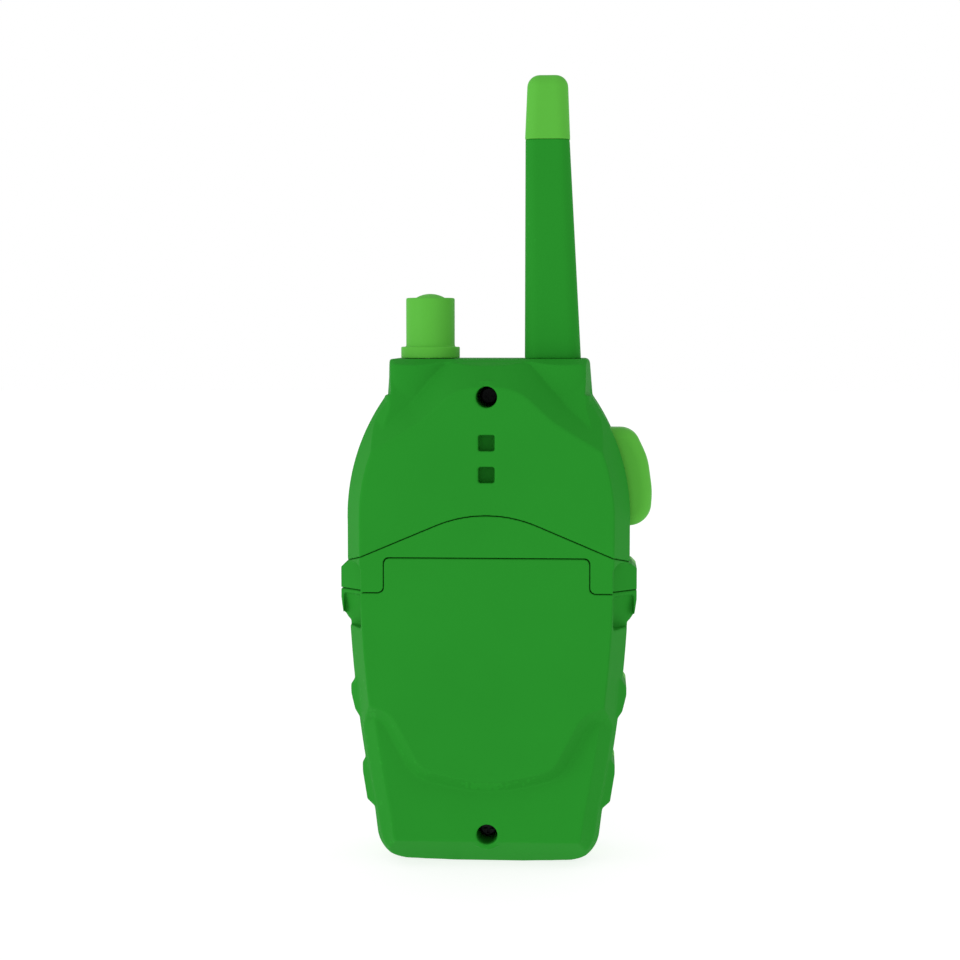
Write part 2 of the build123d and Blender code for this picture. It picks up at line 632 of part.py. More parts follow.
# Knob with its skirt and domed cap, turning on the potentiometer's shaft.
with BuildPart() as knob:
    with BuildSketch(Plane.XY.offset(SKIRT_BOTTOM)):
        with Locations((KNOB_X, 0)):
            Circle(SKIRT_RADIUS)
    extrude(amount=SKIRT_TOP - SKIRT_BOTTOM)
    with BuildSketch(Plane.XY.offset(SKIRT_TOP)):
        with Locations((KNOB_X, 0)):
            Circle(KNOB_RADIUS)
    extrude(amount=KNOB_TOP - SKIRT_TOP)
    fillet(knob.edges().group_by(Axis.Z)[-1], radius=0.3)
    with BuildSketch(Plane.XY.offset(KNOB_TOP - CAP_DEPTH)):
        with Locations((KNOB_X, 0)):
            Circle(CAP_RADIUS)
    extrude(amount=CAP_DEPTH, mode=Mode.SUBTRACT)
    with BuildSketch(Plane.XY.offset(SKIRT_BOTTOM)):
        with Locations((KNOB_X, 0)):
            Circle(SHAFT_RADIUS)
    extrude(amount=SHAFT_TOP - SKIRT_BOTTOM, mode=Mode.SUBTRACT)
save(knob.part, "knob")

cap_sphere_radius = (CAP_RADIUS ** 2 + CAP_RISE ** 2) / (2 * CAP_RISE)
with BuildPart() as knob_cap:
    with BuildSketch(Plane.XZ.shift_origin((KNOB_X, 0, 0))):
        with BuildLine():
            Polyline(
                (0, KNOB_TOP + CAP_RISE),
                (0, KNOB_TOP - CAP_DEPTH),
                (CAP_RADIUS, KNOB_TOP - CAP_DEPTH),
                (CAP_RADIUS, KNOB_TOP),
            )
            RadiusArc((CAP_RADIUS, KNOB_TOP), (0, KNOB_TOP + CAP_RISE), -cap_sphere_radius)
        make_face()
    revolve(axis=Axis((KNOB_X, 0, 0), (0, 0, 1)))
save(knob_cap.part, "knob_cap")

with BuildPart() as knob_shaft:
    with BuildSketch(Plane.XY.offset(SHAFT_BOTTOM)):
        with Locations((KNOB_X, 0)):
            Circle(SHAFT_RADIUS)
    extrude(amount=SHAFT_TOP - SHAFT_BOTTOM)
save(knob_shaft.part, "knob_shaft")

with BuildPart() as volume_control:
    with BuildSketch(Plane.XY.offset(POT_BOTTOM)):
        with Locations((KNOB_X, 0)):
            RectangleRounded(2 * POT_HALF, 2 * POT_HALF - 0.6, 0.8)
    extrude(amount=POT_TOP - POT_BOTTOM)
    with BuildSketch(Plane.XY.offset(POT_TOP)):
        with Locations((KNOB_X, 0)):
            Circle(BUSHING_RADIUS)
    extrude(amount=BODY_TOP - POT_TOP)
    with BuildSketch(Plane.XY.offset(SHAFT_BOTTOM - 0.3)):
        with Locations((KNOB_X, 0)):
            Circle(SHAFT_RADIUS + BORE_CLEARANCE)
    extrude(amount=12.0, mode=Mode.SUBTRACT)
save(volume_control.part, "volume_control")

# Talk button with its retaining flange and the rib that presses the switch.
with BuildPart() as talk_button:
    with BuildSketch(Plane.XZ):
        add(talk_button_outline())
    extrude(amount=PTT_HALF_DEPTH, both=True)
    fillet(talk_button.edges().filter_by_position(Axis.X, 27.0, 33.0).group_by(Axis.Y)[0], radius=2.2)
    fillet(talk_button.edges().filter_by_position(Axis.X, 27.0, 33.0).group_by(Axis.Y)[-1], radius=2.2)
    with BuildSketch(across_x(PTT_INNER_X)):
        with Locations((-0.7, (PTT_BOTTOM + PTT_TOP) / 2)):
            Rectangle(10.6, PTT_TOP - PTT_BOTTOM + 2.0)
    extrude(amount=-PTT_FLANGE)
    with BuildSketch(across_x(PTT_INNER_X - PTT_FLANGE)):
        with Locations((2.0, PTT_RIB_Z)):
            Rectangle(3.0, 3.0)
    extrude(amount=-1.0)
save(talk_button.part, "talk_button")

with BuildPart() as talk_switch:
    with BuildSketch(across_x(SWITCH_X)):
        with Locations((SWITCH_Y, PTT_RIB_Z)):
            Rectangle(SWITCH_SIZE, SWITCH_SIZE)
    extrude(amount=SWITCH_HEIGHT)
    with BuildSketch(across_x(SWITCH_X + SWITCH_HEIGHT)):
        with Locations((SWITCH_Y, PTT_RIB_Z)):
            Circle(PLUNGER_RADIUS)
    extrude(amount=PLUNGER_TRAVEL)
save(talk_switch.part, "talk_switch")

# Main board and what sits on it.
with BuildPart() as main_board:
    with BuildSketch(at_y(BOARD_Y + BOARD_THICKNESS)):
        with Locations((0, (BOARD_BOTTOM + BOARD_TOP) / 2)):
            RectangleRounded(2 * BOARD_HALF, BOARD_TOP - BOARD_BOTTOM, 2.0)
        with Locations((CASE_SCREW_X, CASE_SCREW_Z), (-CASE_SCREW_X, CASE_SCREW_Z)):
            Circle(BOSS_RADIUS + 0.4, mode=Mode.SUBTRACT)
    extrude(amount=BOARD_THICKNESS)
save(main_board.part, "main_board")

with BuildPart() as radio_chips:
    with BuildSketch(at_y(BOARD_Y)):
        for chip_place, chip_size in CHIPS.items():
            with Locations(chip_place):
                Rectangle(*chip_size)
    extrude(amount=CHIP_HEIGHT)
save(radio_chips.part, "radio_chips")

with BuildPart() as key_switches:
    front_y = BOARD_Y + BOARD_THICKNESS
    with BuildSketch(at_y(front_y + 1.6)):
        with Locations(*KEY_PLACES.values()):
            Rectangle(4.4, 4.4)
    extrude(amount=1.6)
    with BuildSketch(at_y(front_y + 2.1)):
        with Locations(*KEY_PLACES.values()):
            Circle(1.0)
    extrude(amount=0.5)
save(key_switches.part, "key_switches")

for name, (key_x, key_z) in KEY_PLACES.items():
    with BuildPart() as key:
        with BuildSketch(at_y(FRONT_FACE_Y + KEY_PROUD)):
            with Locations((key_x, key_z)):
                Circle(KEY_RADIUS)
        extrude(amount=FRONT_FACE_Y + KEY_PROUD - KEY_FLANGE_Y)
        fillet(key.edges().group_by(Axis.Y)[-1], radius=0.7)
        with BuildSketch(at_y(KEY_FLANGE_Y + 0.7)):
            with Locations((key_x, key_z)):
                Circle(KEY_RADIUS + 0.8)
        extrude(amount=0.7)
        with BuildSketch(at_y(KEY_FLANGE_Y)):
            with Locations((key_x, key_z)):
                Circle(1.0)
        extrude(amount=KEY_FLANGE_Y - KEY_FOOT_Y)
    save(key.part, name)

with BuildPart() as display_module:
    with BuildSketch(at_y(DISPLAY_FRONT_Y)):
        with Locations((0, (WINDOW_BOTTOM + WINDOW_TOP) / 2 + 0.4)):
            Rectangle(2 * WINDOW_HALF + 3.0, WINDOW_TOP - WINDOW_BOTTOM + 1.2)
    extrude(amount=DISPLAY_FRONT_Y - BOARD_Y - BOARD_THICKNESS)
save(display_module.part, "display_module")

with BuildPart() as display_window:
    with BuildSketch(at_y(FRONT_FACE_Y + 0.3)):
        with Locations((0, (WINDOW_BOTTOM + WINDOW_TOP) / 2)):
            RectangleRounded(2 * WINDOW_HALF, WINDOW_TOP - WINDOW_BOTTOM, 2.0)
    extrude(amount=WALL)
save(display_window.part, "display_window")

with BuildPart() as microphone:
    with BuildSketch(at_y(FRONT_FACE_Y - WALL)):
        with Locations((MIC_X, MIC_Z)):
            Circle(2.0)
    extrude(amount=2.2)
save(microphone.part, "microphone")

# Speaker behind the slots.
speaker_front_y = FRONT_FACE_Y - WALL
with BuildPart() as speaker_frame:
    with BuildSketch(at_y(speaker_front_y)):
        with Locations((0, SPEAKER_Z)):
            Circle(SPEAKER_RADIUS)
            Circle(SPEAKER_RADIUS - SPEAKER_RIM, mode=Mode.SUBTRACT)
    extrude(amount=RIM_DEPTH)
    with BuildSketch(at_y(speaker_front_y - RIM_DEPTH)):
        with Locations((0, SPEAKER_Z)):
            Circle(SPEAKER_RADIUS - CONE_THICKNESS)
            Circle(MAGNET_RADIUS - 1.2, mode=Mode.SUBTRACT)
    extrude(amount=BASKET_DEPTH)
save(speaker_frame.part, "speaker_frame")

with BuildPart() as speaker_cone:
    with BuildSketch(at_y(speaker_front_y - 0.5)):
        with Locations((0, SPEAKER_Z)):
            Circle(SPEAKER_RADIUS - SPEAKER_RIM)
    extrude(amount=CONE_THICKNESS)
save(speaker_cone.part, "speaker_cone")

with BuildPart() as speaker_magnet:
    with BuildSketch(at_y(speaker_front_y - RIM_DEPTH - BASKET_DEPTH)):
        with Locations((0, SPEAKER_Z)):
            Circle(MAGNET_RADIUS)
    extrude(amount=MAGNET_DEPTH)
save(speaker_magnet.part, "speaker_magnet")

# Battery box, open towards the door, with cells, contacts and springs.
box_middle_z = (BOX_BOTTOM + BOX_TOP) / 2
cell_xs = [-CELL_PITCH, 0.0, CELL_PITCH]
with BuildPart() as battery_box:
    with BuildSketch(at_y(BOX_FLOOR_Y)):
        with Locations((0, box_middle_z)):
            RectangleRounded(2 * BOX_HALF, BOX_TOP - BOX_BOTTOM, 1.0)
    extrude(amount=BOX_FLOOR_Y - BOX_REAR_Y)
    with BuildSketch(at_y(BOX_FLOOR_Y - BOX_WALL)):
        with Locations((0, box_middle_z)):
            Rectangle(2 * (BOX_HALF - BOX_WALL), BOX_TOP - BOX_BOTTOM - 2 * BOX_WALL)
    extrude(amount=20.0, mode=Mode.SUBTRACT)
    with BuildSketch(at_y(BOX_FLOOR_Y)):
        with Locations((CASE_SCREW_X, CASE_SCREW_Z - 1.6), (-CASE_SCREW_X, CASE_SCREW_Z - 1.6)):
            Rectangle(4.8, 7.2)
    extrude(amount=1.4)
    with BuildSketch(at_y(BOX_FLOOR_Y)):
        with Locations((CASE_SCREW_X, CASE_SCREW_Z), (-CASE_SCREW_X, CASE_SCREW_Z)):
            Circle(SHANK_RADIUS + BORE_CLEARANCE)
    extrude(amount=3.0, mode=Mode.SUBTRACT)
save(battery_box.part, "battery_box")

for number, cell_x in enumerate(cell_xs, start=1):
    with BuildPart() as cell:
        with BuildSketch(Plane.XY.offset(CELL_BOTTOM)):
            with Locations((cell_x, CELL_Y)):
                Circle(CELL_RADIUS)
        extrude(amount=CELL_LENGTH - NIB_HEIGHT)
        with BuildSketch(Plane.XY.offset(CELL_BOTTOM + CELL_LENGTH - NIB_HEIGHT)):
            with Locations((cell_x, CELL_Y)):
                Circle(NIB_RADIUS)
        extrude(amount=NIB_HEIGHT)
    save(cell.part, f"cell_{number}")

with BuildPart() as contact_plates:
    with BuildSketch(Plane.XY.offset(BOX_TOP - BOX_WALL)):
        for cell_x in cell_xs:
            with Locations((cell_x, CELL_Y)):
                Rectangle(PLATE_WIDTH, PLATE_DEPTH)
    extrude(amount=-PLATE_THICKNESS)
save(contact_plates.part, "contact_plates")

with BuildPart() as contact_springs:
    for cell_x in cell_xs:
        with BuildSketch(Plane.XY.offset(BOX_BOTTOM + BOX_WALL)):
            with Locations((cell_x, CELL_Y)):
                Circle(SPRING_RADIUS)
                Circle(SPRING_RADIUS - SPRING_WIRE, mode=Mode.SUBTRACT)
        extrude(amount=CELL_BOTTOM - BOX_BOTTOM - BOX_WALL - 0.1)
save(contact_springs.part, "contact_springs")

# Screws.
save(screw(COVER_SEAT_Y - 1.2, 8.0, 0, COVER_SCREW_Z), "cover_screw")
save(screw(DOOR_SEAT_Y - 1.2, 6.0, 0, DOOR_SCREW_Z), "door_screw")
with BuildPart() as case_screws:
    for side in (-1, 1):
        add(screw(BOX_FLOOR_Y - 1.4, 9.0, side * CASE_SCREW_X, CASE_SCREW_Z))
save(case_screws.part, "case_screws")
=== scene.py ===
import json
import math

import bmesh
import bpy
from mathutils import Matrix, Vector


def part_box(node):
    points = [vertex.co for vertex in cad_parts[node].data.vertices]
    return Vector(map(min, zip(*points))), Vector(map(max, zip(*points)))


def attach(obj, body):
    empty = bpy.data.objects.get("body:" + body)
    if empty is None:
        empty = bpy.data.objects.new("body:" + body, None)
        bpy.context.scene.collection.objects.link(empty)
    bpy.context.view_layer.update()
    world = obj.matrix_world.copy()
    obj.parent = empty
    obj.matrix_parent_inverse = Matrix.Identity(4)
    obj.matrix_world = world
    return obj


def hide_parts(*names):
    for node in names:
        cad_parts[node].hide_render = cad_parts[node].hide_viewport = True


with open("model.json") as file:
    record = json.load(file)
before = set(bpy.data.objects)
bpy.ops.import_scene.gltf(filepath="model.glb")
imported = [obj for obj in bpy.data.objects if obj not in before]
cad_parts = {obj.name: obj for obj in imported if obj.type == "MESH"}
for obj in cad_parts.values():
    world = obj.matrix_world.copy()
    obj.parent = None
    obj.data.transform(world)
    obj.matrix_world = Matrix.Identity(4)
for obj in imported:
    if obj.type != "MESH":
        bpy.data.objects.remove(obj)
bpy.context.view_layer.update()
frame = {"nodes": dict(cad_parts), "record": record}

MM = 0.001

# ---------------------------------------------------------------- camera, light and floor

EYE = Vector((20.7, -395.0, 105.0)) * MM
LOOK_DOWN, LOOK_LEFT = math.radians(4.29), math.radians(3.29)
LENS, SENSOR_WIDTH, CLIP_START = 75.0, 36.0, 0.01

# The world's light, the floor's own glow and tone, and one large soft key light from the left.
WORLD_LIGHT = 0.79
FLOOR_HALF, FLOOR_GLOW, FLOOR_TONE = 3.0, 0.80, 0.30
KEY_PLACE, KEY_TARGET, KEY_SIZE, KEY_WATTS = (-1.1, -0.75, 0.25), (0, 0, 0.07), 0.8, 4.8
WHITE = (1.0, 1.0, 1.0, 1.0)


def add_camera():
    data = bpy.data.cameras.new("camera")
    data.lens = LENS
    data.sensor_width = SENSOR_WIDTH
    data.clip_start = CLIP_START
    camera = bpy.data.objects.new("camera", data)
    camera.location = EYE
    camera.rotation_euler = (math.radians(90) - LOOK_DOWN, 0, LOOK_LEFT)
    bpy.context.scene.collection.objects.link(camera)
    bpy.context.scene.camera = camera


def add_area_light(name, place, target, size, watts):
    data = bpy.data.lights.new(name, "AREA")
    data.shape = "DISK"
    data.size = size
    data.energy = watts
    light = bpy.data.objects.new(name, data)
    light.location = Vector(place)
    light.rotation_euler = (Vector(target) - light.location).to_track_quat("-Z", "Y").to_euler()
    bpy.context.scene.collection.objects.link(light)


def add_world(light_strength):
    """A white backdrop, with the light that it gives set apart from how bright it looks."""
    world = bpy.data.worlds.new("studio")
    world.use_nodes = True
    nodes, links = world.node_tree.nodes, world.node_tree.links
    light = nodes["Background"]
    light.inputs["Strength"].default_value = light_strength
    light.inputs["Color"].default_value = WHITE
    backdrop = nodes.new("ShaderNodeBackground")
    backdrop.inputs["Color"].default_value = WHITE
    path = nodes.new("ShaderNodeLightPath")
    mix = nodes.new("ShaderNodeMixShader")
    links.new(path.outputs["Is Camera Ray"], mix.inputs["Fac"])
    links.new(light.outputs["Background"], mix.inputs[1])
    links.new(backdrop.outputs["Background"], mix.inputs[2])
    links.new(mix.outputs["Shader"], nodes["World Output"].inputs["Surface"])
    bpy.context.scene.world = world


def add_floor(half, tone, glow):
    """A plain square floor whose own glow keeps it level with the backdrop, so that no horizon shows."""
    mesh = bpy.data.meshes.new("floor")
    corners = [(-half, -half, 0), (half, -half, 0), (half, half, 0), (-half, half, 0)]
    mesh.from_pydata(corners, [], [(0, 1, 2, 3)])
    floor = bpy.data.objects.new("floor", mesh)
    bpy.context.scene.collection.objects.link(floor)
    material = bpy.data.materials.new("floor")
    material.use_nodes = True
    shader = material.node_tree.nodes["Principled BSDF"]
    shader.inputs["Base Color"].default_value = (tone, tone, tone, 1.0)
    shader.inputs["Roughness"].default_value = 0.9
    shader.inputs["Specular IOR Level"].default_value = 0.1
    shader.inputs["Emission Color"].default_value = WHITE
    shader.inputs["Emission Strength"].default_value = glow
    mesh.materials.append(material)


# ---------------------------------------------------------------- materials


# Pointiness at which outer edges and creases start, and at which they reach full strength.
OUTER_EDGE, CREASE = (0.53, 0.64), (0.47, 0.39)

# How strongly a moulding's worn edges and its creases change its colour, and by what factor; the creases
# are darkened with painted shade.
EDGE_SHARE, EDGE_SHADE = 0.30, 1.28
CREASE_SHARE, CREASE_PAINTED_SHADE = 0.60, 0.66
EDGE_POLISH = 0.12


class Recipe:
    """A node material under construction, with short calls for the nodes that every finish here shares."""

    def __init__(self, name):
        self.material = bpy.data.materials.new(name)
        self.material.use_nodes = True
        self.nodes = self.material.node_tree.nodes
        self.links = self.material.node_tree.links
        self.shader = self.nodes["Principled BSDF"]
        self.place = self.nodes.new("ShaderNodeTexCoord").outputs["Object"]

    def set(self, **sockets):
        for socket, value in sockets.items():
            self.shader.inputs[socket.replace("_", " ")].default_value = value

    def noise(self, scale, detail=3.0, vector=None):
        node = self.nodes.new("ShaderNodeTexNoise")
        node.inputs["Scale"].default_value = scale
        node.inputs["Detail"].default_value = detail
        self.links.new(vector or self.place, node.inputs["Vector"])
        return node.outputs["Fac"]

    def remap(self, value, low, high, to_low, to_high):
        node = self.nodes.new("ShaderNodeMapRange")
        node.inputs["From Min"].default_value = low
        node.inputs["From Max"].default_value = high
        node.inputs["To Min"].default_value = to_low
        node.inputs["To Max"].default_value = to_high
        self.links.new(value, node.inputs["Value"])
        return node.outputs["Result"]

    def ramp(self, value, *stops):
        node = self.nodes.new("ShaderNodeValToRGB")
        elements = node.color_ramp.elements
        while len(elements) < len(stops):
            elements.new(0.5)
        for element, (position, color) in zip(elements, stops):
            element.position = position
            element.color = (*color, 1.0)
        self.links.new(value, node.inputs["Fac"])
        return node.outputs["Color"]

    def mix(self, factor, under, over):
        """Blends a colour or a socket over another, by a mask."""
        node = self.nodes.new("ShaderNodeMix")
        node.data_type = "RGBA"
        self.links.new(factor, node.inputs[0])
        for index, source in ((6, under), (7, over)):
            if isinstance(source, tuple):
                node.inputs[index].default_value = (*source, 1.0)
            else:
                self.links.new(source, node.inputs[index])
        return node.outputs[2]

    def math(self, operation, first, second):
        node = self.nodes.new("ShaderNodeMath")
        node.operation = operation
        for index, source in enumerate((first, second)):
            if isinstance(source, (int, float)):
                node.inputs[index].default_value = source
            else:
                self.links.new(source, node.inputs[index])
        return node.outputs[0]

    def edges(self, convex=True):
        """How far a point lies on an outer edge, or in a crease."""
        point = self.nodes.new("ShaderNodeNewGeometry").outputs["Pointiness"]
        start, full = OUTER_EDGE if convex else CREASE
        return self.remap(point, start, full, 0.0, 1.0)

    def feed(self, socket, value):
        self.links.new(value, self.shader.inputs[socket])

    def bump(self, height, strength, distance_mm):
        node = self.nodes.new("ShaderNodeBump")
        node.inputs["Strength"].default_value = strength
        node.inputs["Distance"].default_value = distance_mm * MM
        self.links.new(height, node.inputs["Height"])
        self.links.new(node.outputs["Normal"], self.shader.inputs["Normal"])


def shade(color, factor):
    return tuple(min(1.0, channel * factor) for channel in color)


def moulded_plastic(name, color, roughness=0.6, grain=0.12, specular=0.05):
    """Moulded plastic: faint flow marks, spark-eroded grain, polished edges and painted shade that darkens
    its creases.
    """
    recipe = Recipe(name)
    flow = recipe.noise(38.0, 4.0)
    body = recipe.ramp(flow, (0.3, shade(color, 0.97)), (0.7, shade(color, 1.03)))
    worn = recipe.math("MULTIPLY", recipe.edges(), EDGE_SHARE)
    body = recipe.mix(worn, body, shade(color, EDGE_SHADE))
    # Painted shade: the base colour is darkened in creases, standing in for the shade that falls there.
    painted_crease_shade = recipe.math("MULTIPLY", recipe.edges(convex=False), CREASE_SHARE)
    body = recipe.mix(painted_crease_shade, body, shade(color, CREASE_PAINTED_SHADE))
    recipe.feed("Base Color", body)
    fine = recipe.noise(2600.0, 2.0)
    rough = recipe.remap(fine, 0.0, 1.0, roughness - 0.06, roughness + 0.08)
    polish = recipe.math("MULTIPLY", recipe.edges(), EDGE_POLISH)
    recipe.feed("Roughness", recipe.math("SUBTRACT", rough, polish))
    recipe.bump(fine, grain, 0.05)
    recipe.set(Specular_IOR_Level=specular)
    return recipe.material


def plated_metal(name, color, roughness=0.3):
    """Plated or blackened metal: rolling marks and patchy tarnish."""
    recipe = Recipe(name)
    stretch = recipe.nodes.new("ShaderNodeMapping")
    stretch.inputs["Scale"].default_value = (1.0, 1.0, 14.0)
    recipe.links.new(recipe.place, stretch.inputs["Vector"])
    marks = recipe.noise(900.0, 3.0, stretch.outputs["Vector"])
    tarnish = recipe.noise(260.0, 4.0)
    recipe.feed("Base Color", recipe.ramp(tarnish, (0.3, shade(color, 0.78)), (0.7, shade(color, 1.12))))
    recipe.feed("Roughness", recipe.remap(marks, 0.2, 0.8, roughness - 0.08, roughness + 0.14))
    recipe.bump(marks, 0.15, 0.02)
    recipe.set(Metallic=1.0)
    return recipe.material


def circuit_board(name):
    """Green solder mask over copper traces that run in two directions, with bare pads."""
    recipe = Recipe(name)
    tracks = recipe.nodes.new("ShaderNodeTexBrick")
    tracks.inputs["Scale"].default_value = 260.0
    tracks.inputs["Mortar Size"].default_value = 0.09
    tracks.inputs["Brick Width"].default_value = 1.7
    swap = recipe.nodes.new("ShaderNodeMapping")
    swap.inputs["Rotation"].default_value = (math.radians(90), 0, 0)
    recipe.links.new(recipe.place, swap.inputs["Vector"])
    recipe.links.new(swap.outputs["Vector"], tracks.inputs["Vector"])
    copper = tracks.outputs["Fac"]
    mask = recipe.ramp(recipe.noise(60.0), (0.3, (0.006, 0.075, 0.028)), (0.7, (0.010, 0.100, 0.036)))
    recipe.feed("Base Color", recipe.mix(copper, mask, (0.030, 0.190, 0.070)))
    recipe.feed("Roughness", recipe.remap(recipe.noise(900.0), 0.0, 1.0, 0.22, 0.36))
    recipe.bump(copper, 0.6, 0.03)
    return recipe.material


def display_glass(name):
    """A reflective display: grey-green, with a fine pixel grid and a slightly uneven backing."""
    recipe = Recipe(name)
    grid = recipe.nodes.new("ShaderNodeTexBrick")
    grid.offset = 0.0
    grid.inputs["Scale"].default_value = 2400.0
    grid.inputs["Mortar Size"].default_value = 0.06
    grid.inputs["Brick Width"].default_value = 1.0
    grid.inputs["Row Height"].default_value = 1.0
    swap = recipe.nodes.new("ShaderNodeMapping")
    swap.inputs["Rotation"].default_value = (math.radians(90), 0, 0)
    recipe.links.new(recipe.place, swap.inputs["Vector"])
    recipe.links.new(swap.outputs["Vector"], grid.inputs["Vector"])
    tint = recipe.ramp(recipe.noise(70.0), (0.3, (0.26, 0.34, 0.22)), (0.7, (0.30, 0.39, 0.25)))
    recipe.feed("Base Color", recipe.mix(grid.outputs["Fac"], tint, (0.19, 0.26, 0.16)))
    recipe.feed("Roughness", recipe.remap(recipe.noise(500.0), 0.0, 1.0, 0.22, 0.34))
    return recipe.material


def clear_lens(name):
    """A clear moulded lens with faint handling marks."""
    recipe = Recipe(name)
    marks = recipe.noise(420.0, 5.0)
    recipe.feed("Base Color", recipe.ramp(marks, (0.3, (0.93, 0.97, 0.94)), (0.7, (0.98, 1.0, 0.98))))
    recipe.feed("Roughness", recipe.remap(marks, 0.35, 0.75, 0.03, 0.12))
    recipe.set(Transmission_Weight=1.0, IOR=1.49)
    return recipe.material


def speaker_film(name, center):
    """Black film cone with pressed rings around its middle, painted darker in the ring valleys as shade and
    lighter on the crests as light.
    """
    recipe = Recipe(name)
    shift = recipe.nodes.new("ShaderNodeMapping")
    shift.vector_type = "POINT"
    shift.inputs["Location"].default_value = tuple(-axis for axis in center)
    recipe.links.new(recipe.place, shift.inputs["Vector"])
    rings = recipe.nodes.new("ShaderNodeTexWave")
    rings.wave_type = "RINGS"
    rings.rings_direction = "SPHERICAL"
    rings.inputs["Scale"].default_value = 200.0
    rings.inputs["Distortion"].default_value = 0.0
    recipe.links.new(shift.outputs["Vector"], rings.inputs["Vector"])
    # Painted shade and light: the ring valleys get a darker colour and the crests a lighter one.
    ring_valley_painted_shade, ring_crest_painted_light = (0.010, 0.010, 0.011), (0.028, 0.028, 0.030)
    recipe.feed("Base Color", recipe.ramp(rings.outputs["Fac"], (0.0, ring_valley_painted_shade), (1.0, ring_crest_painted_light)))
    recipe.feed("Roughness", recipe.remap(recipe.noise(1500.0), 0.0, 1.0, 0.40, 0.60))
    recipe.bump(rings.outputs["Fac"], 0.5, 0.2)
    return recipe.material


def cell_jacket(name, low, high):
    """A cell's shrink jacket: dark below, copper-coloured above a thin pale line, and a steel end."""
    recipe = Recipe(name)
    apart = recipe.nodes.new("ShaderNodeSeparateXYZ")
    recipe.links.new(recipe.place, apart.inputs["Vector"])
    height = recipe.remap(apart.outputs["Z"], low, high, 0.0, 1.0)
    bands = recipe.ramp(
        height,
        (0.0, (0.42, 0.42, 0.43)),
        (0.012, (0.014, 0.015, 0.017)),
        (0.700, (0.016, 0.017, 0.020)),
        (0.705, (0.60, 0.58, 0.52)),
        (0.712, (0.60, 0.58, 0.52)),
        (0.717, (0.46, 0.21, 0.075)),
        (0.965, (0.46, 0.21, 0.075)),
        (0.970, (0.45, 0.45, 0.46)),
    )
    scuffs = recipe.remap(recipe.noise(700.0, 5.0), 0.62, 0.75, 0.0, 0.25)
    recipe.feed("Base Color", recipe.mix(scuffs, bands, (0.55, 0.53, 0.50)))
    recipe.feed("Roughness", recipe.remap(recipe.noise(900.0), 0.0, 1.0, 0.20, 0.38))
    recipe.feed("Metallic", recipe.remap(height, 0.71, 0.72, 0.1, 0.85))
    return recipe.material


SHELL_GREEN = (0.0182, 0.262, 0.0202)
TRIM_GREEN = (0.100, 0.462, 0.047)
INNER_BLACK = (0.016, 0.016, 0.017)
GLOSS_BLACK = (0.010, 0.010, 0.011)
BRIGHT_STEEL = (0.52, 0.52, 0.53)
# The screws' near-black colour: partly a blackened steel finish and partly painted shade, standing in for
# the shade deep in their holes.
BLACK_STEEL_WITH_HOLE_SHADE = (0.022, 0.022, 0.024)


def make_materials():
    cone_low, cone_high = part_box("speaker_cone")
    cell_low, cell_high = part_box("cell_1")
    middle = [(a + b) / 2 for a, b in zip(cone_low, cone_high)]
    return {
        "shell_green": moulded_plastic("shell_green", SHELL_GREEN),
        "trim_green": moulded_plastic("trim_green", TRIM_GREEN, roughness=0.5, grain=0.06, specular=0.08),
        "key_plastic": moulded_plastic("key_plastic", TRIM_GREEN, roughness=0.42, grain=0.05, specular=0.2),
        "inner_plastic": moulded_plastic("inner_plastic", INNER_BLACK, specular=0.3),
        "black_plastic": moulded_plastic("black_plastic", GLOSS_BLACK, roughness=0.4, specular=0.35),
        "board": circuit_board("board"),
        "display": display_glass("display"),
        "window": clear_lens("window"),
        "cone": speaker_film("cone", middle),
        "cell_jacket": cell_jacket("cell_jacket", cell_low[2], cell_high[2]),
        "steel": plated_metal("steel", BRIGHT_STEEL),
        "black_steel": plated_metal("black_steel", BLACK_STEEL_WITH_HOLE_SHADE, roughness=0.42),
    }


def dress_cad_nodes(materials):
    slots = {entry["node"]: entry["material_slot"] for entry in frame["record"]["subparts"]}
    for name, node in frame["nodes"].items():
        node.data.materials.clear()
        node.data.materials.append(materials[slots[name]])


def soften(node, voxel_mm, passes):
    """Rounds a CAD casing's edges as a moulding's are, by a fine even remesh and a light smoothing."""
    remesh = node.modifiers.new("even", "REMESH")
    remesh.mode = "VOXEL"
    remesh.voxel_size = voxel_mm * MM
    remesh.use_smooth_shade = True
    smooth = node.modifiers.new("round", "SMOOTH")
    smooth.factor = 0.5
    smooth.iterations = passes


# Voxel size in millimetres and smoothing passes for each moulded piece.
SOFTENING = {
    "rear_cover": (0.22, 4),
    "rear_band": (0.20, 2),
    "battery_door": (0.25, 4),
    "front_shell": (0.34, 2),
    "bumper_frame": (0.25, 2),
    "antenna": (0.22, 2),
    "antenna_tip": (0.18, 3),
    "knob": (0.16, 2),
    "knob_cap": (0.12, 2),
    "talk_button": (0.20, 4),
    "battery_box": (0.30, 1),
}


# ---------------------------------------------------------------- pieces made here


def add_piece(name, mesh, material, body):
    piece = bpy.data.objects.new(name, mesh)
    bpy.context.scene.collection.objects.link(piece)
    mesh.materials.append(material)
    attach(piece, body)
    return piece


# Wire radius, foot radius and taper in millimetres, then turns and points to a turn.
SPRING_WIRE, SPRING_FOOT, SPRING_TAPER = 0.24, 3.0, 1.1
SPRING_TURNS, SPRING_STEPS = 3.25, 26

# How far a raised mark is sunk into its face, in millimetres, and the shares that shape its chamfer.
MARK_SINK, CHAMFER_START, CHAMFER_SHRINK = 0.15, 0.6, 0.9


